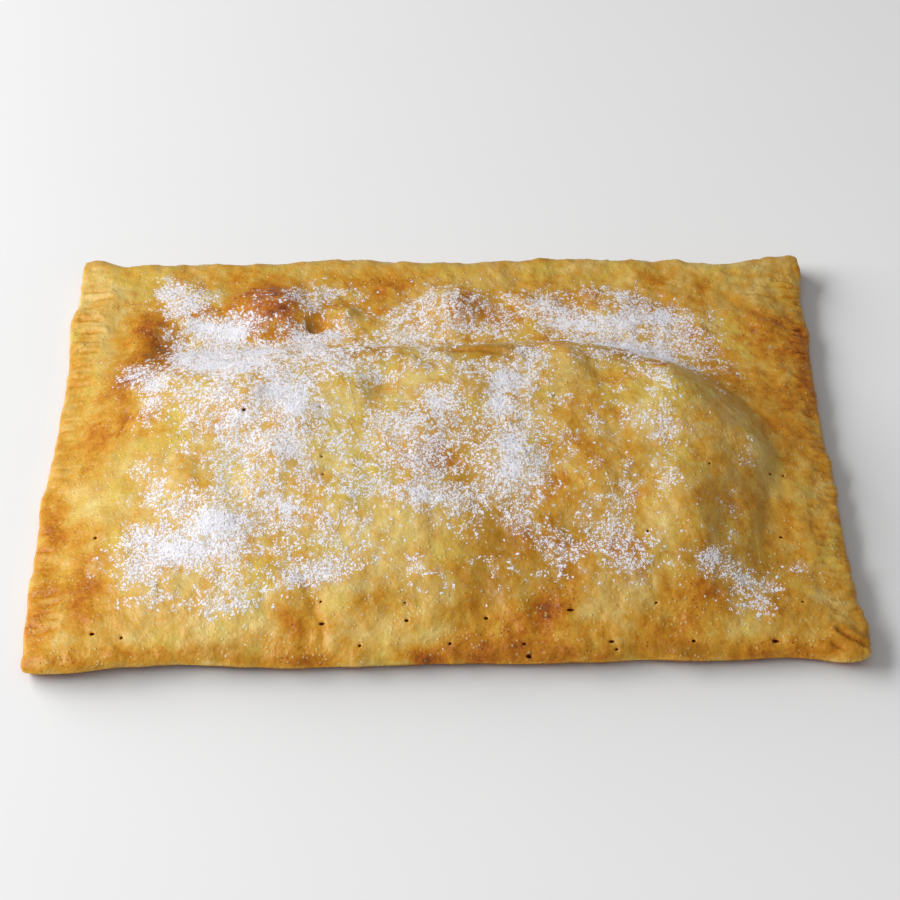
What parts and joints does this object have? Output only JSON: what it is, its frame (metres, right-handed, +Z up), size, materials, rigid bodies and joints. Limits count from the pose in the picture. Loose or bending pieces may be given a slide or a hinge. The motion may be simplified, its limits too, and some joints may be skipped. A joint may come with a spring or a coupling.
{
  "type": "apple strudel",
  "caption": "A whole baked apple strudel, folded from one sheet of pastry, with fork-crimped ends and a mounded filling under a dusting of icing sugar.",
  "frame": {"origin": "Under the middle of the strudel, at the level of the surface it lies on.", "axes": "X runs along the length from one crimped end to the other, Y from the front fold to the back fold, Z up out of the top sheet."},
  "size_m": [0.3486, 0.2408, 0.0317],
  "materials": {
    "pastry": "satin",
    "sugar": "matt"
  },
  "bodies": {
    "root": {"strudel": "pastry"}
  },
  "joints": []
}
